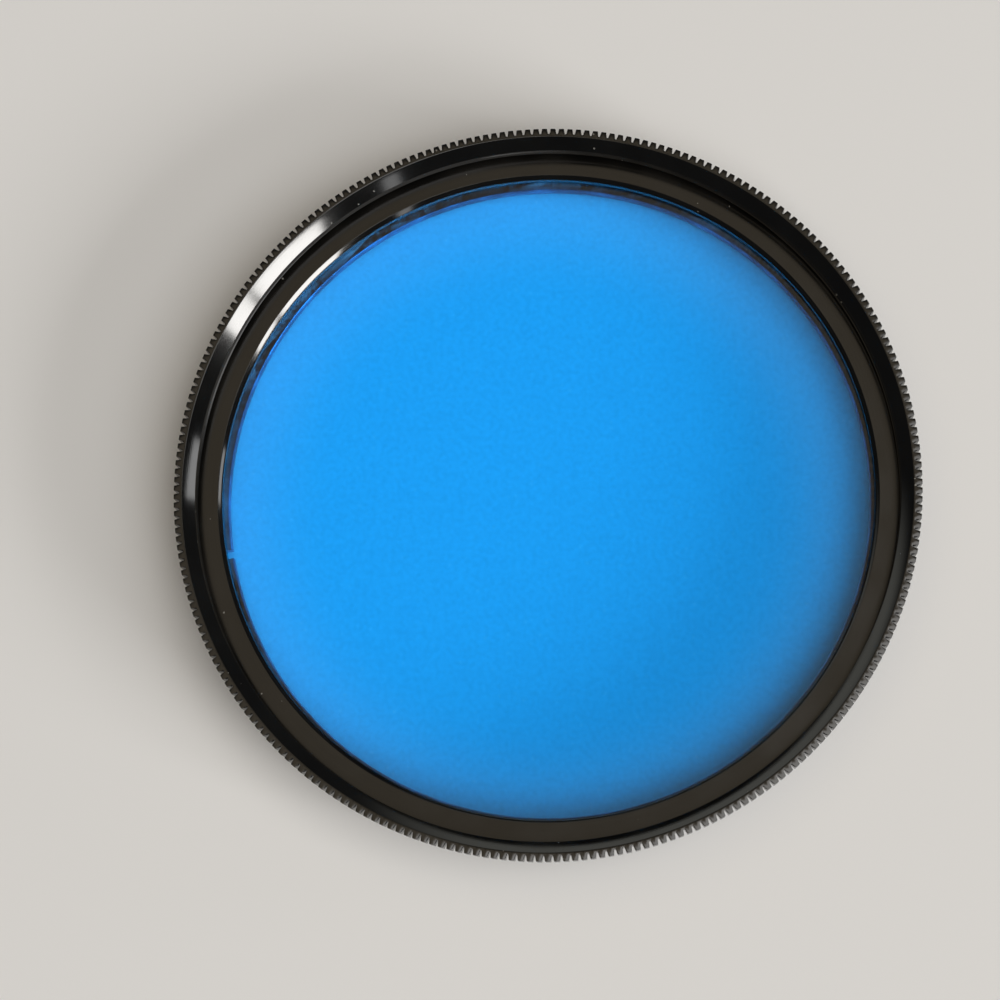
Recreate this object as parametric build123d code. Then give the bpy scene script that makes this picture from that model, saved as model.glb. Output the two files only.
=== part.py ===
"""Screw-in colour conversion filter for a camera lens, 52 mm size.

A turned ring with a knurled rim holds a disc of blue glass against an inner
lip. A split ring sprung into a groove behind the glass keeps it there. The
front of the ring is bored and threaded for a hood, a cap or a second filter,
and its rear end is the male thread that screws into the lens.

The part stands on the end of its male thread with the front face up. The
origin is on the axis at that end, and +Z runs along the axis to the front.
All sizes are in millimetres. Threads are plain cylinders at their mating size.
"""
from build123d import *
import math
import os

# Filter thread, the same size at both ends
filter_thread_diameter = 52.0
thread_pitch = 0.75

# Mount ring, heights along the axis
rear_land = 0.75
retainer_thickness = 0.8
glass_thickness = 2.0
lip_thickness = 0.8
ledge_depth = 2.25
male_thread_length = 2.3
male_relief_width = 0.4
female_relief_width = 0.35
knurl_band_height = 1.5

# Mount ring, walls and steps across the axis
flange_wall = 1.0
side_band_wall = 0.45
front_rim_width = 0.6
bevel_angle = 45.0
groove_wall = 0.39
retainer_groove_depth = 0.3
female_relief_depth = 0.05
male_relief_depth = 0.14
lip_overlap = 0.85
lip_chamfer = 0.29
male_lead_chamfer = 0.35
shoulder_chamfer = 0.2
seat_chamfer = 0.2
crest_round = 0.08

# Knurl, straight grooves along the axis
knurl_pitch = 0.635
knurl_groove_depth = 0.4
knurl_groove_mouth = 0.36

# Glass and split ring
glass_clearance = 0.1
glass_edge_chamfer = 0.2
retainer_clearance = 0.05
retainer_width = 1.4
retainer_gap = 0.65
retainer_gap_angle = 190.0
groove_overlap = 0.1

# Depth of thread form as a share of pitch, from the ISO metric profile
female_thread_share = 0.5413
male_thread_share = 0.6134

# Radii that follow from the thread
thread_radius = filter_thread_diameter / 2
female_minor_radius = thread_radius - female_thread_share * thread_pitch
male_root_radius = thread_radius - male_thread_share * thread_pitch
ring_radius = thread_radius + flange_wall
side_band_radius = thread_radius + side_band_wall
crest_radius = ring_radius - front_rim_width
groove_radius = male_root_radius - groove_wall
seat_radius = groove_radius - retainer_groove_depth
glass_radius = seat_radius - glass_clearance
lip_radius = glass_radius - lip_overlap

# Heights that follow from the stack, from the rear end up
glass_bottom = rear_land + retainer_thickness
lip_bottom = glass_bottom + glass_thickness
ledge_height = lip_bottom + lip_thickness
front_height = ledge_height + ledge_depth
knurl_bottom = front_height - knurl_band_height
blank_radius = ring_radius + knurl_groove_depth / 4
bevel_depth = (crest_radius - female_minor_radius) * math.tan(math.radians(bevel_angle))


def turned(corners):
    """Revolve a closed outline about the axis, from (radius, height, round) corners."""
    points = [(radius, 0, height) for radius, height, _ in corners]
    rounds = [corner_round for _, _, corner_round in corners]
    outline = FilletPolyline(*points, radius=rounds, close=True)
    return revolve(make_face(outline), Axis.Z)


def ring_outside():
    """Corners of the mount ring's outside, from the rear end up to the front rim."""
    relief_radius = male_root_radius - male_relief_depth
    relief_bottom = male_thread_length - male_relief_width
    return [
        (thread_radius - male_lead_chamfer, 0, 0),
        (thread_radius, male_lead_chamfer, 0),
        (thread_radius, relief_bottom, 0),
        (relief_radius, relief_bottom, 0),
        (relief_radius, male_thread_length, 0),
        (side_band_radius - shoulder_chamfer, male_thread_length, 0),
        (side_band_radius, male_thread_length + shoulder_chamfer, 0),
        (side_band_radius, knurl_bottom, 0),
        (blank_radius, knurl_bottom, 0),
        (blank_radius, front_height, 0),
        (crest_radius, front_height, crest_round),
    ]


def ring_inside():
    """Corners of the mount ring's bore, from the thread mouth down to the rear end."""
    relief_radius = thread_radius + female_relief_depth
    relief_top = ledge_height + female_relief_width
    groove_top = glass_bottom + groove_overlap
    return [
        (female_minor_radius, front_height - bevel_depth, 0),
        (female_minor_radius, relief_top, 0),
        (relief_radius, relief_top, 0),
        (relief_radius, ledge_height, 0),
        (lip_radius + lip_chamfer, ledge_height, 0),
        (lip_radius, ledge_height - lip_chamfer, 0),
        (lip_radius, lip_bottom, 0),
        (seat_radius, lip_bottom, 0),
        (seat_radius, groove_top, 0),
        (groove_radius, groove_top, 0),
        (groove_radius, rear_land, 0),
        (seat_radius, rear_land, 0),
        (seat_radius, seat_chamfer, 0),
        (seat_radius + seat_chamfer, 0, 0),
    ]


def knurl_outline():
    """Closed outline of the knurled rim, one V groove for each tooth."""
    tooth_count = round(2 * math.pi * ring_radius / knurl_pitch)
    tooth_angle = 2 * math.pi / tooth_count
    half_mouth_angle = knurl_groove_mouth / 2 / ring_radius
    root_radius = ring_radius - knurl_groove_depth
    points = []
    for tooth in range(tooth_count):
        groove_angle = tooth * tooth_angle
        for radius, turn in ((ring_radius, -half_mouth_angle), (root_radius, 0), (ring_radius, half_mouth_angle)):
            angle = groove_angle + turn
            points.append((radius * math.cos(angle), radius * math.sin(angle)))
    return Polyline(*points, close=True)


def knurl_cutter():
    """Ring with teeth on its inside that trims the blank rim to the knurl at once."""
    reach = knurl_groove_depth / 2
    blank = Circle(ring_radius + reach) - make_face(knurl_outline())
    height = knurl_band_height + 2 * reach
    return Pos(0, 0, knurl_bottom - reach) * extrude(blank, height)


def mount_ring():
    """Turned ring: knurled rim, front thread, glass seat, groove and male thread."""
    return turned(ring_outside() + ring_inside()) - knurl_cutter()


def filter_glass():
    """Blue glass disc with a small ground bevel round both edges."""
    rim_bottom = glass_bottom + glass_edge_chamfer
    rim_top = lip_bottom - glass_edge_chamfer
    return turned([
        (0, glass_bottom, 0),
        (glass_radius - glass_edge_chamfer, glass_bottom, 0),
        (glass_radius, rim_bottom, 0),
        (glass_radius, rim_top, 0),
        (glass_radius - glass_edge_chamfer, lip_bottom, 0),
        (0, lip_bottom, 0),
    ])


def retaining_ring():
    """Flat split ring sprung into the groove, with its gap cut square."""
    outer_radius = groove_radius - retainer_clearance
    inner_radius = outer_radius - retainer_width
    whole = turned([
        (inner_radius, rear_land, 0),
        (outer_radius, rear_land, 0),
        (outer_radius, glass_bottom, 0),
        (inner_radius, glass_bottom, 0),
    ])
    middle_radius = (outer_radius + inner_radius) / 2
    middle_height = (rear_land + glass_bottom) / 2
    slot = Box(2 * retainer_width, retainer_gap, 2 * retainer_thickness)
    return whole - Rot(0, 0, retainer_gap_angle) * Pos(middle_radius, 0, middle_height) * slot


def main():
    """Write one file for each piece of the filter."""
    os.makedirs("parts", exist_ok=True)
    export_step(mount_ring(), "parts/mount_ring.step")
    export_step(filter_glass(), "parts/filter_glass.step")
    export_step(retaining_ring(), "parts/retaining_ring.step")


main()
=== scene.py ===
"""Visual model of a screw-in colour conversion filter, 52 mm size.

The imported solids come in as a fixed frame, standing on the rear end with the
front face up and +Z along the axis. Each is replaced here by a finer piece of
the same form: the knurled ring with its real threads, the blue glass disc and
the split retaining ring. Pieces are drawn in millimetres, then brought to
metres in the frame's place.
"""
from __future__ import annotations

import logging
import math
from contextlib import contextmanager
from dataclasses import dataclass
from enum import Enum
from typing import Callable, Iterator, Sequence

import bmesh
import bpy
from mathutils import Matrix, Vector

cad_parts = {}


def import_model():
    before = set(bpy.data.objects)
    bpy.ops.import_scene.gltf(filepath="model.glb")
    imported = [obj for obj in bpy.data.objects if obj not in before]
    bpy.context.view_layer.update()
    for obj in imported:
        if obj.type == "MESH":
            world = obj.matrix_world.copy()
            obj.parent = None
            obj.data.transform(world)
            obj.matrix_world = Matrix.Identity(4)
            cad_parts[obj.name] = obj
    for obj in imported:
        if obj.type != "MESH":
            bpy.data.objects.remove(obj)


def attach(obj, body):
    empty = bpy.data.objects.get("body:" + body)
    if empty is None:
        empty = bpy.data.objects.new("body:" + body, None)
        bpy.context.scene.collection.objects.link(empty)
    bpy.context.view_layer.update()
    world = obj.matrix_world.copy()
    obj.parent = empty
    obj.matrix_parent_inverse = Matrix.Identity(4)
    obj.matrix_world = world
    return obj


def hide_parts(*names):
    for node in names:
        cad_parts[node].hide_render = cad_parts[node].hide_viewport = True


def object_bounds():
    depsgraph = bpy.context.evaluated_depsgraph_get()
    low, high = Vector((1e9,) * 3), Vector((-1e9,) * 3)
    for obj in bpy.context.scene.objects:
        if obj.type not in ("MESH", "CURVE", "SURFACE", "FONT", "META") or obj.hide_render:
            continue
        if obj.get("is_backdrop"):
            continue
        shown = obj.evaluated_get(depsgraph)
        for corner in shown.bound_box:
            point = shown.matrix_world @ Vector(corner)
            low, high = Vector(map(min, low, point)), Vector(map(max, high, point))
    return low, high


log = logging.getLogger("filter")

MM = 0.001
Colour = tuple[float, float, float]
Place = tuple[float, float, float]
Span = tuple[float, float]
Test = Callable[[object], bool]

DAYLIGHT: Colour = (1.0, 0.98, 0.95)

# How near two points have to be to become one, in millimetres
SPIN_JOIN = 0.0008
TEETH_JOIN = 0.0015
OUTLINE_JOIN = 0.0001

# Slack in telling by its place which element is wanted, in millimetres
NEAR = 0.01


class Element(Enum):
    """Kinds of mesh element that a selection can hold."""

    POINT = "VERT"
    EDGE = "EDGE"
    FACE = "FACE"


class Facing(Enum):
    """Where a thread is cut, as the way its tool is drawn back: inwards or outwards."""

    BORE = -1
    SHAFT = 1


@dataclass(frozen=True)
class Corner:
    """One corner of a turned outline: radius, height and rounding in millimetres."""

    radius: float
    height: float
    rounding: float = 0.0


# Steps of modelling by hand


@contextmanager
def editing(piece: bpy.types.Object) -> Iterator[None]:
    """Hold one piece in edit mode, with nothing selected in it at first.

    Args:
        piece: the mesh object to work on.
    """
    bpy.ops.object.select_all(action="DESELECT")
    piece.select_set(True)
    bpy.context.view_layer.objects.active = piece
    bpy.ops.object.mode_set(mode="EDIT")
    bpy.ops.mesh.select_mode(type=Element.POINT.value)
    bpy.ops.mesh.select_all(action="DESELECT")
    yield
    bpy.ops.object.mode_set(mode="OBJECT")


def choose(piece: bpy.types.Object, kind: Element, test: Test) -> int:
    """Select the elements of a piece in edit mode that pass a test.

    Args:
        piece: the object that is in edit mode.
        kind: the kind of element to select.
        test: says for one element whether it is wanted.

    Returns:
        How many elements are selected.
    """
    bpy.ops.mesh.select_mode(type=kind.value)
    bpy.ops.mesh.select_all(action="DESELECT")
    mesh = bmesh.from_edit_mesh(piece.data)
    members = {Element.POINT: mesh.verts, Element.EDGE: mesh.edges, Element.FACE: mesh.faces}[kind]
    wanted = [member for member in members if test(member)]
    for member in wanted:
        member.select_set(True)
    bmesh.update_edit_mesh(piece.data)
    return len(wanted)


def use_modifier(piece: bpy.types.Object, kind: str, **settings: object) -> None:
    """Add a modifier to a piece and apply it.

    Args:
        piece: the object that the modifier shapes.
        kind: Blender's name for the type of modifier.
        **settings: values for the modifier's own settings.
    """
    bpy.ops.object.select_all(action="DESELECT")
    piece.select_set(True)
    bpy.context.view_layer.objects.active = piece
    modifier = piece.modifiers.new("shape", kind)
    for setting, value in settings.items():
        setattr(modifier, setting, value)
    bpy.ops.object.modifier_apply(modifier=modifier.name)


def softened(corners: Sequence[Corner], segments: int = 3, closed: bool = False) -> list[Vector]:
    """Turn corners into outline points, each rounded corner as a short arc.

    Args:
        corners: the corners in order.
        segments: how many straight runs make up one arc.
        closed: whether the last corner runs on to the first.

    Returns:
        Points as (radius, height) vectors.
    """
    points: list[Vector] = []
    last = len(corners) - 1
    for index, corner in enumerate(corners):
        here = Vector((corner.radius, corner.height))
        if corner.rounding == 0 or (index in (0, last) and not closed):
            points.append(here)
            continue
        before, after = corners[index - 1], corners[(index + 1) % len(corners)]
        back = (Vector((before.radius, before.height)) - here).normalized()
        onward = (Vector((after.radius, after.height)) - here).normalized()
        half = back.angle(onward) / 2
        start = here + back * corner.rounding / math.tan(half)
        end = here + onward * corner.rounding / math.tan(half)
        centre = here + (back + onward).normalized() * corner.rounding / math.sin(half)
        sweep = (start - centre).angle_signed(end - centre)
        for step in range(segments + 1):
            arm = start - centre
            arm.rotate(Matrix.Rotation(-sweep * step / segments, 2))
            points.append(centre + arm)
    return points


def draw_outline(name: str, points: Sequence[Vector], closed: bool = False) -> bpy.types.Object:
    """Draw a chain of edges in the plane of the axis and +X, one extrusion a corner.

    Args:
        name: name of the new piece.
        points: (radius, height) of each point, in millimetres.
        closed: whether to join the last point to the first.

    Returns:
        The new piece, a chain of edges with no face.
    """
    bpy.ops.object.select_all(action="DESELECT")
    bpy.ops.mesh.primitive_plane_add(size=1, location=(0, 0, 0))
    piece = bpy.context.object
    piece.name = name
    with editing(piece):
        bpy.ops.mesh.select_all(action="SELECT")
        bpy.ops.mesh.merge(type="CENTER")
        bpy.ops.transform.translate(value=(points[0].x, 0, points[0].y))
        for here, there in zip(points, points[1:]):
            step = (there.x - here.x, 0, there.y - here.y)
            bpy.ops.mesh.extrude_region_move(TRANSFORM_OT_translate={"value": step})
        if closed:
            ends = [Vector((spot.x, 0, spot.y)) for spot in (points[0], points[-1])]
            choose(
                piece, Element.POINT,
                lambda point: min((point.co - end).length for end in ends) < OUTLINE_JOIN,
            )
            bpy.ops.mesh.edge_face_add()
    return piece


def swing(angle: float) -> None:
    """Turn the selected elements about the axis, anticlockwise seen from the front."""
    bpy.ops.transform.rotate(value=-angle, orient_axis="Z", center_override=(0, 0, 0))


def turn(piece: bpy.types.Object, start: float, sweep: float, steps: int) -> None:
    """Spin a drawn outline about the axis, as on a lathe.

    Args:
        piece: the outline, still in the plane of +X.
        start: angle at which the sweep begins, in radians.
        sweep: angle that it covers, in radians.
        steps: how many runs make up the sweep.
    """
    with editing(piece):
        bpy.ops.mesh.select_all(action="SELECT")
        swing(start)
        bpy.ops.mesh.spin(steps=steps, angle=-sweep, center=(0, 0, 0), axis=(0, 0, 1))
        bpy.ops.mesh.select_all(action="SELECT")
        bpy.ops.mesh.remove_doubles(threshold=SPIN_JOIN)


def cap_open_ends(piece: bpy.types.Object, test: Test) -> None:
    """Fill one ring of open edges with a flat face.

    Args:
        piece: the object to close.
        test: says which open edges belong to this end.
    """
    with editing(piece):
        choose(piece, Element.EDGE, lambda edge: edge.is_boundary and test(edge))
        bpy.ops.mesh.edge_face_add()


def face_outwards(piece: bpy.types.Object) -> None:
    """Make every face of a closed piece point outwards.

    Args:
        piece: the closed piece.
    """
    with editing(piece):
        bpy.ops.mesh.select_all(action="SELECT")
        bpy.ops.mesh.normals_make_consistent(inside=False)


def give_material(piece: bpy.types.Object, material: bpy.types.Material, test: Test | None = None) -> None:
    """Dress a piece, or the faces of it that pass a test.

    Args:
        piece: the object to dress.
        material: the material, which gets a new slot on the piece.
        test: says which faces get it; all of them if left out.
    """
    piece.data.materials.append(material)
    if test is None:
        return
    with editing(piece):
        choose(piece, Element.FACE, test)
        piece.active_material_index = len(piece.data.materials) - 1
        bpy.ops.object.material_slot_assign()


def hand_over(piece: bpy.types.Object, node: str, smooth_angle: float = 30.0) -> None:
    """Bring a finished piece to metres and put it in the place of its node.

    Args:
        piece: the finished piece, drawn in millimetres.
        node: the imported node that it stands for.
        smooth_angle: edges sharper than this stay crisp, in degrees.
    """
    bpy.ops.object.select_all(action="DESELECT")
    piece.select_set(True)
    bpy.context.view_layer.objects.active = piece
    piece.scale = (MM, MM, MM)
    bpy.ops.object.transform_apply(location=True, rotation=True, scale=True)
    bpy.ops.object.shade_smooth_by_angle(angle=math.radians(smooth_angle))
    use_modifier(piece, "WEIGHTED_NORMAL", keep_sharp=True)
    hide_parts(node)
    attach(piece, "root")


# Node groups and finishes


class NodeSheet:
    """Adds and joins the nodes of one material or node group."""

    def __init__(self, tree: bpy.types.NodeTree) -> None:
        """Take the tree to work on."""
        self.tree = tree

    def add(self, kind: str, **settings: object) -> bpy.types.Node:
        """Add a node and give it its settings.

        Args:
            kind: Blender's name for the type of node.
            **settings: properties of the node, or values for inputs of that name.

        Returns:
            The new node.
        """
        node = self.tree.nodes.new(kind)
        for setting, value in settings.items():
            if hasattr(node, setting):
                setattr(node, setting, value)
            else:
                self.put(value, node.inputs[setting.replace("_", " ")])
        return node

    def put(self, source: object, target: bpy.types.NodeSocket) -> None:
        """Join an output to an input, or write a plain value into it.

        Args:
            source: the output or the value.
            target: the input.
        """
        if isinstance(source, bpy.types.NodeSocket):
            self.tree.links.new(source, target)
        else:
            target.default_value = source

    def maths(self, operation: str, *values: object) -> bpy.types.NodeSocket:
        """Work out one number from others.

        Args:
            operation: Blender's name for the operation.
            *values: numbers or outputs, in order.

        Returns:
            The output that holds the result.
        """
        node = self.tree.nodes.new("ShaderNodeMath")
        node.operation = operation
        for value, socket in zip(values, node.inputs):
            self.put(value, socket)
        return node.outputs[0]

    def vectors(self, operation: str, *values: object) -> bpy.types.Node:
        """Work out a vector, or a number in its own output, from vectors.

        Args:
            operation: Blender's name for the operation.
            *values: vectors or outputs, in order.

        Returns:
            The node that holds the result.
        """
        node = self.tree.nodes.new("ShaderNodeVectorMath")
        node.operation = operation
        for value, socket in zip(values, node.inputs):
            self.put(value, socket)
        return node

    def ramp(
        self, value: object, low: float, high: float, start: float = 0.0, end: float = 1.0
    ) -> bpy.types.NodeSocket:
        """Map a value from one range to another and hold it there at the ends.

        Args:
            value: the number or output to map.
            low: start of the range that it comes from.
            high: end of that range.
            start: result at the low end.
            end: result at the high end.

        Returns:
            The output that holds the result.
        """
        node = self.tree.nodes.new("ShaderNodeMapRange")
        node.interpolation_type = "SMOOTHSTEP"
        for socket, amount in zip(node.inputs, (value, low, high, start, end)):
            self.put(amount, socket)
        return node.outputs[0]

    def blend(self, share: object, first: object, second: object) -> bpy.types.NodeSocket:
        """Mix two colours.

        Args:
            share: how much of the second colour shows.
            first: the colour underneath.
            second: the colour on top.

        Returns:
            The output that holds the mixed colour.
        """
        node = self.tree.nodes.new("ShaderNodeMix")
        node.data_type = "RGBA"
        for socket, value in ((node.inputs[0], share), (node.inputs[6], first), (node.inputs[7], second)):
            self.put(value, socket)
        return node.outputs[2]


def new_group(name: str, inputs: dict[str, str], output: str) -> tuple[bpy.types.NodeTree, NodeSheet]:
    """Start a node group with named inputs and one number as its output.

    Args:
        name: name of the group.
        inputs: socket type of each input, by its name.
        output: name of the output.

    Returns:
        The group and a sheet to fill it with.
    """
    group = bpy.data.node_groups.new(name, "ShaderNodeTree")
    for label, kind in inputs.items():
        group.interface.new_socket(label, in_out="INPUT", socket_type=kind)
    group.interface.new_socket(output, in_out="OUTPUT", socket_type="NodeSocketFloat")
    return group, NodeSheet(group)


def turning_marks_group() -> bpy.types.NodeTree:
    """Build the fine rings that a lathe tool leaves.

    Returns:
        The group, which puts out a height.
    """
    inputs = {"Vector": "NodeSocketVector", "Lines": "NodeSocketFloat"}
    group, sheet = new_group("turning marks", inputs, "Height")
    entry = sheet.add("NodeGroupInput")
    parts = sheet.add("ShaderNodeSeparateXYZ", Vector=entry.outputs["Vector"])
    flat = sheet.add("ShaderNodeCombineXYZ", X=parts.outputs["X"], Y=parts.outputs["Y"]).outputs[0]
    reach = sheet.vectors("LENGTH", flat).outputs["Value"]
    compass = sheet.add("ShaderNodeSeparateXYZ", Vector=sheet.vectors("NORMALIZE", flat).outputs["Vector"])
    across = sheet.maths("ADD", reach, parts.outputs["Z"])
    place = sheet.add(
        "ShaderNodeCombineXYZ",
        X=sheet.maths("MULTIPLY", across, entry.outputs["Lines"]),
        Y=sheet.maths("MULTIPLY", compass.outputs["X"], 2.0),
        Z=sheet.maths("MULTIPLY", compass.outputs["Y"], 2.0),
    )
    noise = sheet.add("ShaderNodeTexNoise", Vector=place.outputs[0], Scale=1.0, Detail=2.0)
    leave = sheet.add("NodeGroupOutput")
    sheet.put(noise.outputs[0], leave.inputs["Height"])
    return group


def specks_group() -> bpy.types.NodeTree:
    """Build scattered dust specks of mixed sizes.

    Returns:
        The group, which puts out a mask.
    """
    inputs = {
        "Vector": "NodeSocketVector",
        "Scale": "NodeSocketFloat",
        "Share": "NodeSocketFloat",
        "Size": "NodeSocketFloat",
    }
    group, sheet = new_group("dust specks", inputs, "Mask")
    entry = sheet.add("NodeGroupInput")
    warp = sheet.add("ShaderNodeTexNoise", Vector=entry.outputs["Vector"], Detail=2.0)
    sheet.put(sheet.maths("MULTIPLY", entry.outputs["Scale"], 2.0), warp.inputs["Scale"])
    cells = sheet.add("ShaderNodeTexVoronoi", Vector=entry.outputs["Vector"], Scale=entry.outputs["Scale"])
    lot = sheet.add("ShaderNodeSeparateColor", Color=cells.outputs["Color"])
    size = sheet.maths("MULTIPLY", entry.outputs["Size"], lot.outputs["Green"])
    uneven = sheet.ramp(warp.outputs[0], 0.3, 0.7, 0.5, 1.5)
    reach = sheet.maths("ADD", sheet.maths("MULTIPLY", size, uneven), 0.001)
    inside = sheet.ramp(sheet.maths("DIVIDE", cells.outputs["Distance"], reach), 1.0, 0.6)
    present = sheet.maths("LESS_THAN", lot.outputs["Red"], entry.outputs["Share"])
    leave = sheet.add("NodeGroupOutput")
    sheet.put(sheet.maths("MULTIPLY", inside, present), leave.inputs["Mask"])
    return group


@dataclass(frozen=True)
class AnodisedFinish:
    """Black anodised aluminium as the tool and the bath leave it.

    The colour is dull dyed oxide. Turning marks show on it, and a little dust
    and handling has greyed it in places.
    """

    name: str
    colour: Colour
    haze: Colour
    roughness: float
    mark_lines: float
    mark_depth: float
    dust_share: float
    cloud_scale: float = 260.0
    dust_scale: float = 3400.0
    dust_size: float = 0.3
    dust_strength: float = 0.6
    dust_roughness: float = 0.4
    dust_colour: Colour = (0.30, 0.29, 0.26)
    index: float = 1.62

    def build(self, groups: dict[str, bpy.types.NodeTree]) -> bpy.types.Material:
        """Make the material.

        Args:
            groups: the shared node groups by name.

        Returns:
            The finished material.
        """
        material, sheet, shader, place = start_material(self.name)
        marks = sheet.add("ShaderNodeGroup", node_tree=groups["marks"], Vector=place, Lines=self.mark_lines)
        cloud = sheet.add("ShaderNodeTexNoise", Vector=place, Scale=self.cloud_scale, Detail=4.0).outputs[0]
        specks = sheet.add(
            "ShaderNodeGroup", node_tree=groups["specks"],
            Vector=place, Scale=self.dust_scale, Share=self.dust_share, Size=self.dust_size,
        ).outputs[0]
        clouded = sheet.blend(sheet.ramp(cloud, 0.35, 0.75), (*self.colour, 1.0), (*self.haze, 1.0))
        dust = sheet.maths("MULTIPLY", specks, self.dust_strength)
        sheet.put(sheet.blend(dust, clouded, (*self.dust_colour, 1.0)), shader.inputs["Base Color"])
        polish = sheet.ramp(cloud, 0.3, 0.7, self.roughness * 0.85, self.roughness * 1.2)
        dulled = sheet.maths("MULTIPLY", specks, self.dust_roughness)
        sheet.put(sheet.maths("ADD", polish, dulled), shader.inputs["Roughness"])
        bump = sheet.add("ShaderNodeBump", Strength=1.0, Distance=self.mark_depth, Height=marks.outputs[0])
        sheet.put(bump.outputs[0], shader.inputs["Normal"])
        shader.inputs["IOR"].default_value = self.index
        return material


@dataclass(frozen=True)
class BlackSteelFinish:
    """Blackened spring steel, a little paler in places, with a soft sheen along the wire."""

    name: str
    colour: Colour
    roughness: float
    paler: float = 3.0
    cloud_scale: float = 400.0
    mark_lines: float = 14000.0
    mark_depth: float = 0.000002
    metallic: float = 0.6

    def build(self, groups: dict[str, bpy.types.NodeTree]) -> bpy.types.Material:
        """Make the material.

        Args:
            groups: the shared node groups by name.

        Returns:
            The finished material.
        """
        material, sheet, shader, place = start_material(self.name)
        marks = sheet.add(
            "ShaderNodeGroup", node_tree=groups["marks"], Vector=place, Lines=self.mark_lines
        ).outputs[0]
        cloud = sheet.add("ShaderNodeTexNoise", Vector=place, Scale=self.cloud_scale, Detail=3.0).outputs[0]
        worn = tuple(self.paler * part for part in self.colour)
        colour = sheet.blend(sheet.ramp(cloud, 0.4, 0.8), (*self.colour, 1.0), (*worn, 1.0))
        sheet.put(colour, shader.inputs["Base Color"])
        sheen = sheet.ramp(marks, 0.3, 0.7, self.roughness, self.roughness + 0.15)
        sheet.put(sheen, shader.inputs["Roughness"])
        shader.inputs["Metallic"].default_value = self.metallic
        bump = sheet.add("ShaderNodeBump", Strength=1.0, Distance=self.mark_depth, Height=marks)
        sheet.put(bump.outputs[0], shader.inputs["Normal"])
        return material


@dataclass(frozen=True)
class BlueGlassFinish:
    """Glass dyed blue in the mass, polished, with a faint grain of dust on it.

    Light rays that look for a lamp pass straight through with a dye of their
    own, so what lies behind the glass is lit through it.
    """

    name: str
    colour: Colour
    lit_colour: Colour
    roughness: float
    grain_scale: float = 2600.0
    dust_scale: float = 1700.0
    dust_share: float = 0.3
    dust_size: float = 0.26
    dust_strength: float = 0.3
    dust_colour: Colour = (0.25, 0.75, 1.0)
    index: float = 1.52

    def build(self, groups: dict[str, bpy.types.NodeTree]) -> bpy.types.Material:
        """Make the material.

        Args:
            groups: the shared node groups by name.

        Returns:
            The finished material.
        """
        material, sheet, shader, place = start_material(self.name)
        grain = sheet.add("ShaderNodeTexNoise", Vector=place, Scale=self.grain_scale, Detail=3.0).outputs[0]
        deeper = tuple(0.93 * part for part in self.colour)
        lighter = tuple(min(1.0, 1.05 * part) for part in self.colour)
        tint = sheet.blend(sheet.ramp(grain, 0.3, 0.7), (*deeper, 1.0), (*lighter, 1.0))
        specks = sheet.add(
            "ShaderNodeGroup", node_tree=groups["specks"],
            Vector=place, Scale=self.dust_scale, Share=self.dust_share, Size=self.dust_size,
        ).outputs[0]
        dust = sheet.maths("MULTIPLY", specks, self.dust_strength)
        sheet.put(sheet.blend(dust, tint, (*self.dust_colour, 1.0)), shader.inputs["Base Color"])
        shader.inputs["Roughness"].default_value = self.roughness
        shader.inputs["IOR"].default_value = self.index
        shader.inputs["Transmission Weight"].default_value = 1.0
        clear = sheet.add("ShaderNodeBsdfTransparent", Color=(*self.lit_colour, 1.0))
        path = sheet.add("ShaderNodeLightPath")
        either = sheet.add("ShaderNodeMixShader")
        sheet.put(path.outputs["Is Shadow Ray"], either.inputs[0])
        sheet.put(shader.outputs[0], either.inputs[1])
        sheet.put(clear.outputs[0], either.inputs[2])
        sheet.put(either.outputs[0], material.node_tree.nodes["Material Output"].inputs["Surface"])
        return material


def start_material(name: str) -> tuple[bpy.types.Material, NodeSheet, bpy.types.Node, bpy.types.NodeSocket]:
    """Start a material with one Principled shader.

    Args:
        name: name of the material.

    Returns:
        The material, its sheet, the shader and the output with object coordinates.
    """
    material = bpy.data.materials.new(name)
    material.use_nodes = True
    sheet = NodeSheet(material.node_tree)
    shader = material.node_tree.nodes["Principled BSDF"]
    place = sheet.add("ShaderNodeTexCoord").outputs["Object"]
    return material, sheet, shader, place


class Finishes:
    """Every finish of the filter, built once."""

    def __init__(self) -> None:
        """Build the shared groups, then the materials that use them."""
        groups = {"marks": turning_marks_group(), "specks": specks_group()}
        self.satin = AnodisedFinish(
            name="black_anodised_satin",
            colour=(0.0032, 0.0030, 0.0026),
            haze=(0.0065, 0.0058, 0.0048),
            roughness=0.19,
            mark_lines=9000.0,
            mark_depth=0.0000012,
            dust_share=0.02,
        ).build(groups)
        self.bright = AnodisedFinish(
            name="black_anodised_bevel",
            colour=(0.002, 0.002, 0.002),
            haze=(0.004, 0.004, 0.0038),
            roughness=0.09,
            mark_lines=12000.0,
            mark_depth=0.0000009,
            dust_share=0.012,
        ).build(groups)
        self.steel = BlackSteelFinish(
            name="blackened_steel", colour=(0.12, 0.13, 0.19), roughness=0.3
        ).build(groups)
        self.glass = BlueGlassFinish(
            name="blue_dyed_glass", colour=(0.085, 0.58, 0.98), lit_colour=(0.28, 0.78, 1.0), roughness=0.0
        ).build(groups)


# Pieces


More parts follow.
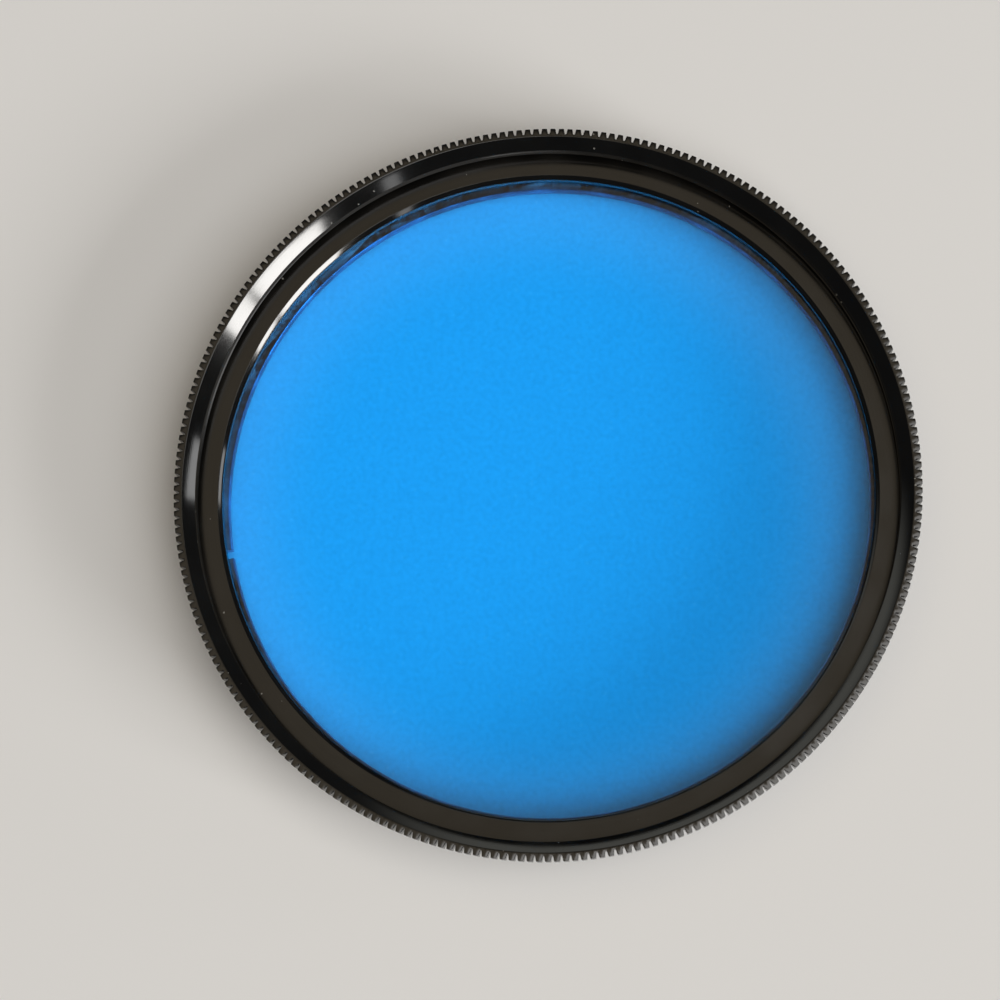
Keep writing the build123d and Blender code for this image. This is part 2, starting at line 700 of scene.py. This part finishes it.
@dataclass
class ThreadCutter:
    """Screw-shaped tool that cuts one thread: sizes in millimetres, angles in degrees.

    The tool is a strip with a flat nose, wound along the helix. It eases out of
    the metal at its upper end, and in a bore at its lower end too, as a lathe
    tool does when it is drawn back.
    """

    name: str
    nose_radius: float
    tail_radius: float
    start_height: float
    turns: float
    facing: Facing
    start_angle: float = 0.0
    pitch: float = 0.75
    nose_width: float = 0.094
    flank_angle: float = 30.0
    steps: int = 240
    ease_steps: int = 20
    ease_clearance: float = 0.06

    def build(self) -> bpy.types.Object:
        """Wind the tool and close its ends.

        Returns:
            The tool as a closed mesh.
        """
        depth = abs(self.tail_radius - self.nose_radius)
        half_nose = self.nose_width / 2
        half_tail = half_nose + depth * math.tan(math.radians(self.flank_angle))
        start, climb = self.start_height, self.pitch * self.turns
        first, sweep = math.radians(self.start_angle), 2 * math.pi * self.turns
        steps = round(self.steps * self.turns)
        section = [
            Vector((self.tail_radius, start - half_tail)),
            Vector((self.nose_radius, start - half_nose)),
            Vector((self.nose_radius, start + half_nose)),
            Vector((self.tail_radius, start + half_tail)),
        ]
        tool = draw_outline(self.name, section, closed=True)
        with editing(tool):
            bpy.ops.mesh.select_all(action="SELECT")
            swing(first)
        use_modifier(
            tool, "SCREW", axis="Z", angle=sweep, screw_offset=climb, iterations=1,
            steps=steps, render_steps=steps,
        )
        middle = start + climb / 2
        cap_open_ends(tool, lambda edge: all(point.co.z < middle for point in edge.verts))
        cap_open_ends(tool, lambda edge: all(point.co.z > middle for point in edge.verts))
        self.ease_out(tool, start + climb, first + sweep, -sweep / steps)
        if self.facing is Facing.BORE:
            self.ease_out(tool, start, first, sweep / steps)
        face_outwards(tool)
        return tool

    def ease_out(self, tool: bpy.types.Object, end_height: float, end_angle: float, step_angle: float) -> None:
        """Draw the steps of the tool at one end back out of the metal.

        Args:
            tool: the wound tool.
            end_height: height of the tool's middle at that end.
            end_angle: angle of that end about the axis, in radians.
            step_angle: angle from one step to the next, away from that end.
        """
        reach = abs(self.tail_radius - self.nose_radius) + self.ease_clearance
        same_turn, same_step = 0.37, 0.05
        with editing(tool):
            for step in range(self.ease_steps):
                angle = end_angle + step * step_angle
                ray = Vector((math.cos(angle), math.sin(angle), 0))
                height = end_height + step * step_angle / (2 * math.pi) * self.pitch
                found = choose(
                    tool, Element.POINT,
                    lambda point: abs(point.co.z - height) < same_turn
                    and abs(point.co.x * ray.y - point.co.y * ray.x) < same_step
                    and point.co.dot(ray) > 0,
                )
                if found:
                    shift = self.facing.value * reach * (1 - step / self.ease_steps)
                    bpy.ops.transform.translate(value=(ray.x * shift, ray.y * shift, 0))


@dataclass
class KnurledMountRing:
    """The turned black ring: sizes in millimetres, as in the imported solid."""

    thread_radius: float = 26.0
    bore_crest_radius: float = 25.594
    bore_relief_radius: float = 26.05
    bore_cutter_tail: float = 25.48
    bore_thread_turns: float = 1.2
    bore_thread_angle: float = 38.0
    shaft_root_radius: float = 25.540
    shaft_relief_radius: float = 25.40
    shaft_cutter_tail: float = 26.08
    shaft_thread_start: float = -1.04
    shaft_thread_turns: float = 4.0
    rim_radius: float = 27.0
    crest_radius: float = 26.4
    side_radius: float = 26.45
    seat_radius: float = 24.85
    groove_radius: float = 25.15
    lip_radius: float = 23.9
    front_height: float = 6.6
    bevel_foot: float = 5.794
    band_foot: float = 5.1
    bore_relief_top: float = 4.7
    ledge_height: float = 4.35
    lip_foot: float = 3.55
    shoulder_height: float = 2.3
    shaft_relief_foot: float = 1.9
    groove_top: float = 1.65
    groove_foot: float = 0.75
    lip_chamfer: float = 0.29
    lead_chamfer: float = 0.35
    small_chamfer: float = 0.2
    crest_round: float = 0.08
    edge_break: float = 0.03
    teeth: int = 267
    notch_depth: float = 0.4
    notch_mouth: float = 0.27
    notch_floor: float = 0.12

    def outline(self) -> list[Corner]:
        """List the corners of the turned outline, all but the knurled rim.

        Returns:
            Corners from under the knurl, round the rear end, up to the crest.
        """
        soft, small = self.edge_break, self.small_chamfer
        rounded_off = self.crest_round * math.tan(math.radians(22.5))
        return [
            Corner(self.side_radius, self.band_foot),
            Corner(self.side_radius, self.shoulder_height + small, soft),
            Corner(self.side_radius - small, self.shoulder_height, soft),
            Corner(self.shaft_relief_radius, self.shoulder_height),
            Corner(self.shaft_relief_radius, self.shaft_relief_foot),
            Corner(self.thread_radius, self.shaft_relief_foot),
            Corner(self.thread_radius, self.lead_chamfer),
            Corner(self.thread_radius - self.lead_chamfer, 0.0, soft),
            Corner(self.seat_radius + small, 0.0, soft),
            Corner(self.seat_radius, small, soft),
            Corner(self.seat_radius, self.groove_foot, soft),
            Corner(self.groove_radius, self.groove_foot),
            Corner(self.groove_radius, self.groove_top),
            Corner(self.seat_radius, self.groove_top, soft),
            Corner(self.seat_radius, self.lip_foot),
            Corner(self.lip_radius, self.lip_foot, soft),
            Corner(self.lip_radius, self.ledge_height - self.lip_chamfer, soft),
            Corner(self.lip_radius + self.lip_chamfer, self.ledge_height, soft),
            Corner(self.bore_relief_radius, self.ledge_height),
            Corner(self.bore_relief_radius, self.bore_relief_top),
            Corner(self.bore_crest_radius, self.bore_relief_top),
            Corner(self.bore_crest_radius, self.bevel_foot),
            Corner(self.crest_radius, self.front_height, self.crest_round),
            Corner(self.crest_radius + rounded_off, self.front_height),
        ]

    def cutters(self) -> list[ThreadCutter]:
        """List the tools that cut the threads.

        Returns:
            The tool for the front thread in the bore, then the one for the rear shaft.
        """
        return [
            ThreadCutter(
                name="front_cutter",
                nose_radius=self.thread_radius,
                tail_radius=self.bore_cutter_tail,
                start_height=self.bore_relief_top,
                turns=self.bore_thread_turns,
                facing=Facing.BORE,
                start_angle=self.bore_thread_angle,
            ),
            ThreadCutter(
                name="rear_cutter",
                nose_radius=self.shaft_root_radius,
                tail_radius=self.shaft_cutter_tail,
                start_height=self.shaft_thread_start,
                turns=self.shaft_thread_turns,
                facing=Facing.SHAFT,
            ),
        ]

    def build(self, finishes: Finishes) -> bpy.types.Object:
        """Turn the ring, roll its knurl and cut both threads.

        Args:
            finishes: the materials of the filter.

        Returns:
            The finished piece.
        """
        ring = draw_outline("knurled_mount_ring", softened(self.outline()))
        turn(ring, 0.0, 2 * math.pi, 2 * self.teeth)
        teeth = self.knurl()
        bpy.ops.object.select_all(action="DESELECT")
        teeth.select_set(True)
        ring.select_set(True)
        bpy.context.view_layer.objects.active = ring
        bpy.ops.object.join()
        with editing(ring):
            bpy.ops.mesh.select_all(action="SELECT")
            bpy.ops.mesh.remove_doubles(threshold=TEETH_JOIN)
        face_outwards(ring)
        for cutter in self.cutters():
            self.cut(ring, cutter)
        self.dress(ring, finishes)
        hand_over(ring, "mount_ring")
        return ring

    def knurl(self) -> bpy.types.Object:
        """Shape one tooth of the knurled rim and set it round the ring.

        Returns:
            All the teeth as one open band, from the crest to the side wall.
        """
        pitch = 2 * math.pi / self.teeth
        half_mouth = self.notch_mouth / 2 / self.rim_radius
        half_floor = self.notch_floor / 2 / self.rim_radius
        path = [
            Vector((self.outline()[-1].radius, self.front_height)),
            Vector((self.rim_radius, self.front_height)),
            Vector((self.rim_radius, self.band_foot)),
            Vector((self.side_radius, self.band_foot)),
        ]
        tooth = draw_outline("tooth", path)
        turn(tooth, -pitch / 2, pitch, 2)
        wall = self.rim_radius * 0.999
        floor_edge = self.notch_floor / 2 + NEAR
        root = self.rim_radius - self.notch_depth
        with editing(tooth):
            for angle in (-half_mouth, half_mouth, -half_floor, half_floor):
                choose(tooth, Element.FACE, lambda face: all(point.co.xy.length > wall for point in face.verts))
                bpy.ops.mesh.bisect(plane_co=(0, 0, 0), plane_no=(-math.sin(angle), math.cos(angle), 0))
            choose(tooth, Element.POINT, lambda point: abs(point.co.y) < floor_edge and point.co.x > wall)
            bpy.ops.transform.translate(value=(-self.notch_depth, 0, 0))
            choose(tooth, Element.EDGE, lambda edge: self.is_tooth_edge(edge, root, half_mouth))
            bpy.ops.mesh.bevel(offset=self.edge_break, segments=2, affect="EDGES")
        bpy.ops.object.empty_add(location=(0, 0, 0), rotation=(0, 0, pitch))
        step = bpy.context.object
        use_modifier(
            tooth, "ARRAY", count=self.teeth,
            use_relative_offset=False, use_object_offset=True, offset_object=step,
            use_merge_vertices=True, use_merge_vertices_cap=True, merge_threshold=TEETH_JOIN,
        )
        bpy.data.objects.remove(step)
        return tooth

    def is_tooth_edge(self, edge: bmesh.types.BMEdge, root: float, half_mouth: float) -> bool:
        """Say whether an edge of the tooth is one that the tool breaks.

        Args:
            edge: an edge of the tooth.
            root: radius of the notch's floor.
            half_mouth: half the angle of the notch's mouth.

        Returns:
            True for the rim of the tooth's outline and the corners of the notch's mouth.
        """
        spots = [point.co for point in edge.verts]
        nearest = min(spot.xy.length for spot in spots)
        if abs(spots[0].z - spots[1].z) < NEAR:
            return nearest > root - 0.05
        beside = max(abs(abs(math.atan2(spot.y, spot.x)) - half_mouth) for spot in spots)
        return nearest > self.rim_radius - NEAR and beside < 0.001

    def cut(self, ring: bpy.types.Object, cutter: ThreadCutter) -> None:
        """Take one thread out of the ring.

        Args:
            ring: the ring to cut.
            cutter: the tool that cuts it.
        """
        tool = cutter.build()
        use_modifier(ring, "BOOLEAN", operation="DIFFERENCE", solver="EXACT", object=tool)
        bpy.data.objects.remove(tool)

    def dress(self, ring: bpy.types.Object, finishes: Finishes) -> None:
        """Give the ring its satin finish and its bevel the bright one.

        Args:
            ring: the ring, in millimetres.
            finishes: the materials of the filter.
        """
        ring.data.materials.clear()
        give_material(ring, finishes.satin)
        give_material(ring, finishes.bright, self.on_bevel)

    def on_bevel(self, face: bmesh.types.BMFace) -> bool:
        """Say whether a face lies on the bevel inside the rim or on the lip's chamfer.

        Args:
            face: a face of the ring.

        Returns:
            True where the bright finish goes.
        """
        middle = face.calc_center_median()
        reach = middle.xy.length
        slope = face.normal.xy.dot(middle.xy.normalized())
        funnelled = -0.8 < slope < -0.6 and face.normal.z > 0.6
        bevel = self.bore_crest_radius < reach < self.crest_radius + 0.05 and middle.z > self.bevel_foot
        chamfer = reach < self.lip_radius + self.lip_chamfer and middle.z < self.ledge_height
        return funnelled and (bevel or chamfer)


@dataclass
class BlueGlassDisc:
    """The glass: a flat disc with a small ground bevel, sizes in millimetres."""

    radius: float = 24.75
    bottom: float = 1.55
    thickness: float = 2.0
    edge_bevel: float = 0.2
    edge_break: float = 0.02
    steps: int = 360

    def build(self, finishes: Finishes) -> bpy.types.Object:
        """Turn the disc and close its two faces.

        Args:
            finishes: the materials of the filter.

        Returns:
            The finished piece.
        """
        top = self.bottom + self.thickness
        inner = self.radius - self.edge_bevel
        corners = [
            Corner(inner, self.bottom),
            Corner(self.radius, self.bottom + self.edge_bevel, self.edge_break),
            Corner(self.radius, top - self.edge_bevel, self.edge_break),
            Corner(inner, top),
        ]
        disc = draw_outline("blue_glass_disc", softened(corners, segments=2))
        turn(disc, 0.0, 2 * math.pi, self.steps)
        cap_open_ends(disc, lambda edge: all(point.co.z < self.bottom + NEAR for point in edge.verts))
        cap_open_ends(disc, lambda edge: all(point.co.z > top - NEAR for point in edge.verts))
        face_outwards(disc)
        give_material(disc, finishes.glass)
        hand_over(disc, "filter_glass")
        return disc


@dataclass
class SplitRetainingRing:
    """The split ring behind the glass: sizes in millimetres, angles in degrees."""

    inner_radius: float = 23.7
    outer_radius: float = 25.1
    bottom: float = 0.75
    thickness: float = 0.8
    edge_round: float = 0.1
    gap: float = 0.65
    gap_angle: float = 190.0
    steps: int = 360

    def build(self, finishes: Finishes) -> bpy.types.Object:
        """Turn the ring from one side of its gap to the other.

        Args:
            finishes: the materials of the filter.

        Returns:
            The finished piece.
        """
        top = self.bottom + self.thickness
        corners = [
            Corner(self.inner_radius, self.bottom, self.edge_round),
            Corner(self.outer_radius, self.bottom, self.edge_round),
            Corner(self.outer_radius, top, self.edge_round),
            Corner(self.inner_radius, top, self.edge_round),
        ]
        ring = draw_outline("split_retaining_ring", softened(corners, closed=True), closed=True)
        half_gap = math.asin(self.gap / (self.inner_radius + self.outer_radius))
        start = math.radians(self.gap_angle) + half_gap
        turn(ring, start, 2 * math.pi - 2 * half_gap, self.steps)
        for side in (-1, 1):
            angle = math.radians(self.gap_angle) + side * half_gap
            across = Vector((-math.sin(angle), math.cos(angle), 0))
            cap_open_ends(ring, lambda edge: all(abs(point.co.dot(across)) < 0.05 for point in edge.verts))
        face_outwards(ring)
        give_material(ring, finishes.steel)
        hand_over(ring, "retaining_ring")
        return ring


# Studio


def aim(azimuth: float, elevation: float) -> Vector:
    """Point from the filter outwards.

    Args:
        azimuth: angle about the axis, in degrees.
        elevation: angle above the floor, in degrees.

    Returns:
        The direction, one unit long.
    """
    around, up = math.radians(azimuth), math.radians(elevation)
    return Vector((math.cos(around) * math.cos(up), math.sin(around) * math.cos(up), math.sin(up)))


@dataclass(frozen=True)
class Softbox:
    """A rectangular lamp that points at the filter: sizes in metres, angles in degrees."""

    name: str
    azimuth: float
    elevation: float
    distance: float
    width: float
    height: float
    brightness: float
    tint: Colour = (1.0, 1.0, 1.0)

    def place(self) -> None:
        """Set the lamp up; its brightness is what a white card in it would show."""
        lamp = bpy.data.lights.new(self.name, "AREA")
        lamp.shape = "RECTANGLE"
        lamp.size, lamp.size_y = self.width, self.height
        lamp.energy = self.brightness * math.pi * self.width * self.height
        lamp.color = self.tint
        stand = bpy.data.objects.new(self.name, lamp)
        bpy.context.scene.collection.objects.link(stand)
        outward = aim(self.azimuth, self.elevation)
        stand.location = outward * self.distance
        stand.rotation_euler = outward.to_track_quat("Z", "Y").to_euler()


@dataclass(frozen=True)
class Surroundings:
    """Dim walls, a warm ceiling with a shaded patch, and a pale strip low at one side.

    Angles are in degrees. Those of an edge say where a part begins to show and
    where it shows in full.
    """

    walls: Colour = (0.05, 0.05, 0.05)
    ceiling: Colour = (0.58, 0.49, 0.36)
    ceiling_edge: Span = (50.0, 64.0)
    patch_azimuth: float = 104.0
    patch_elevation: float = 78.0
    patch_edge: Span = (8.5, 4.5)
    patch_shade: float = 0.2
    strip: Colour = (0.75, 0.75, 0.68)
    strip_azimuth: float = 118.0
    strip_side_edge: Span = (52.0, 30.0)
    strip_top_edge: Span = (12.0, 5.0)

    def build(self) -> None:
        """Make the world and give it to the scene."""
        world = bpy.data.worlds.new("surroundings")
        world.use_nodes = True
        sheet = NodeSheet(world.node_tree)
        heading = sheet.add("ShaderNodeTexCoord").outputs["Generated"]
        rise = sheet.add("ShaderNodeSeparateXYZ", Vector=heading).outputs["Z"]
        lit = self.edge(sheet, rise, self.ceiling_edge, math.sin)
        around = sheet.blend(self.strip_mask(sheet, heading, rise), (*self.walls, 1.0), (*self.strip, 1.0))
        backdrop = world.node_tree.nodes["Background"]
        sheet.put(sheet.blend(lit, around, self.shaded_ceiling(sheet, heading)), backdrop.inputs["Color"])
        backdrop.inputs["Strength"].default_value = 1.0
        bpy.context.scene.world = world

    def edge(
        self, sheet: NodeSheet, value: bpy.types.NodeSocket, span: Span, measure: Callable[[float], float]
    ) -> bpy.types.NodeSocket:
        """Fade a part in over a span of angles.

        Args:
            sheet: the sheet of the world.
            value: the sine or cosine of the angle that counts.
            span: angles at which the part begins to show and shows in full.
            measure: math.sin or math.cos, as the value has it.

        Returns:
            The output with the share of the part that shows.
        """
        begin, full = (measure(math.radians(angle)) for angle in span)
        return sheet.ramp(value, begin, full)

    def shaded_ceiling(self, sheet: NodeSheet, heading: bpy.types.NodeSocket) -> bpy.types.NodeSocket:
        """Colour the ceiling, with its patch in shade.

        Args:
            sheet: the sheet of the world.
            heading: the output with the direction that is looked in.

        Returns:
            The output with the colour.
        """
        toward = sheet.vectors("DOT_PRODUCT", heading, aim(self.patch_azimuth, self.patch_elevation))
        cover = sheet.ramp(self.edge(sheet, toward.outputs["Value"], self.patch_edge, math.cos), 0.0, 1.0)
        shaded = tuple(part * self.patch_shade for part in self.ceiling)
        return sheet.blend(cover, (*self.ceiling, 1.0), (*shaded, 1.0))

    def strip_mask(
        self, sheet: NodeSheet, heading: bpy.types.NodeSocket, rise: bpy.types.NodeSocket
    ) -> bpy.types.NodeSocket:
        """Mask the pale strip.

        Args:
            sheet: the sheet of the world.
            heading: the output with the direction that is looked in.
            rise: the output with the sine of its elevation.

        Returns:
            The output with the share of the strip that shows.
        """
        toward = sheet.vectors("DOT_PRODUCT", heading, aim(self.strip_azimuth, 0.0))
        beside = self.edge(sheet, toward.outputs["Value"], self.strip_side_edge, math.cos)
        return sheet.maths("MULTIPLY", beside, self.edge(sheet, rise, self.strip_top_edge, math.sin))


@dataclass
class Studio:
    """Floor, lamps, surroundings and the camera, which looks in from the front."""

    floor_size: float = 12.0
    floor_colour: Colour = (0.80, 0.80, 0.80)
    floor_roughness: float = 0.9
    floor_gloss: float = 0.2
    surroundings: Surroundings = Surroundings()
    lamps: tuple[Softbox, ...] = (
        Softbox("wide_pane", -35.0, 20.0, 2.0, 0.60, 0.5, 17.0, DAYLIGHT),
        Softbox("narrow_pane", -20.5, 20.0, 2.0, 0.24, 0.5, 17.0, DAYLIGHT),
        Softbox("side_light", 9.0, 13.0, 2.0, 0.36, 0.3, 3.4),
        Softbox("far_light", -61.0, 21.0, 2.0, 0.11, 0.5, 2.4),
        Softbox("fill", -35.0, 60.0, 2.2, 2.2, 1.8, 2.3),
    )
    lens: float = 80.64
    sensor_width: float = 36.0
    nearest: float = 0.01
    camera_place: Place = (7.80, -34.63, 164.08)
    camera_right: Place = (0.99758, 0.0, -0.06947)
    camera_up: Place = (0.01438, 0.97836, 0.20643)
    camera_back: Place = (0.06797, -0.20693, 0.97599)

    def build(self) -> None:
        """Set up the whole studio."""
        self.lay_floor()
        self.surroundings.build()
        for lamp in self.lamps:
            lamp.place()
        self.set_camera()

    def lay_floor(self) -> None:
        """Lay a plain pale floor under the filter."""
        bpy.ops.object.select_all(action="DESELECT")
        bpy.ops.mesh.primitive_plane_add(size=self.floor_size, location=(0, 0, 0))
        floor = bpy.context.object
        floor.name = "floor"
        material, _, shader, _ = start_material("pale_floor")
        shader.inputs["Base Color"].default_value = (*self.floor_colour, 1.0)
        shader.inputs["Roughness"].default_value = self.floor_roughness
        shader.inputs["Specular IOR Level"].default_value = self.floor_gloss
        floor.data.materials.append(material)
        floor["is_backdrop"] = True

    def set_camera(self) -> None:
        """Put the camera in its place, which is in millimetres, and make it the scene's."""
        camera = bpy.data.cameras.new("camera")
        camera.lens = self.lens
        camera.sensor_width = self.sensor_width
        camera.clip_start = self.nearest
        stand = bpy.data.objects.new("camera", camera)
        bpy.context.scene.collection.objects.link(stand)
        turned = Matrix((self.camera_right, self.camera_up, self.camera_back)).transposed().to_4x4()
        stand.matrix_world = Matrix.Translation(Vector(self.camera_place) * MM) @ turned
        bpy.context.scene.camera = stand


def report(piece: bpy.types.Object) -> None:
    """Log how fine a piece is and whether it is closed.

    Args:
        piece: the finished piece.
    """
    mesh = bmesh.new()
    mesh.from_mesh(piece.data)
    open_edges = sum(1 for edge in mesh.edges if not edge.is_manifold)
    triangles = sum(len(face.verts) - 2 for face in mesh.faces)
    mesh.free()
    log.info("%s: %d triangles, %d open edges", piece.name, triangles, open_edges)


def main() -> None:
    """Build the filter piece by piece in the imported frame."""
    logging.basicConfig(level=logging.INFO, format="%(message)s")
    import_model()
    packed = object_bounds()
    finishes = Finishes()
    for part in (KnurledMountRing(), BlueGlassDisc(), SplitRetainingRing()):
        report(part.build(finishes))
    Studio().build()
    scene = bpy.context.scene
    scene.view_settings.view_transform = "Standard"
    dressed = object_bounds()
    for label, box in (("packed", packed), ("dressed", dressed)):
        log.info("%s %s", label, [[round(value, 5) for value in corner] for corner in box])


if __name__ == "__main__":
    main()
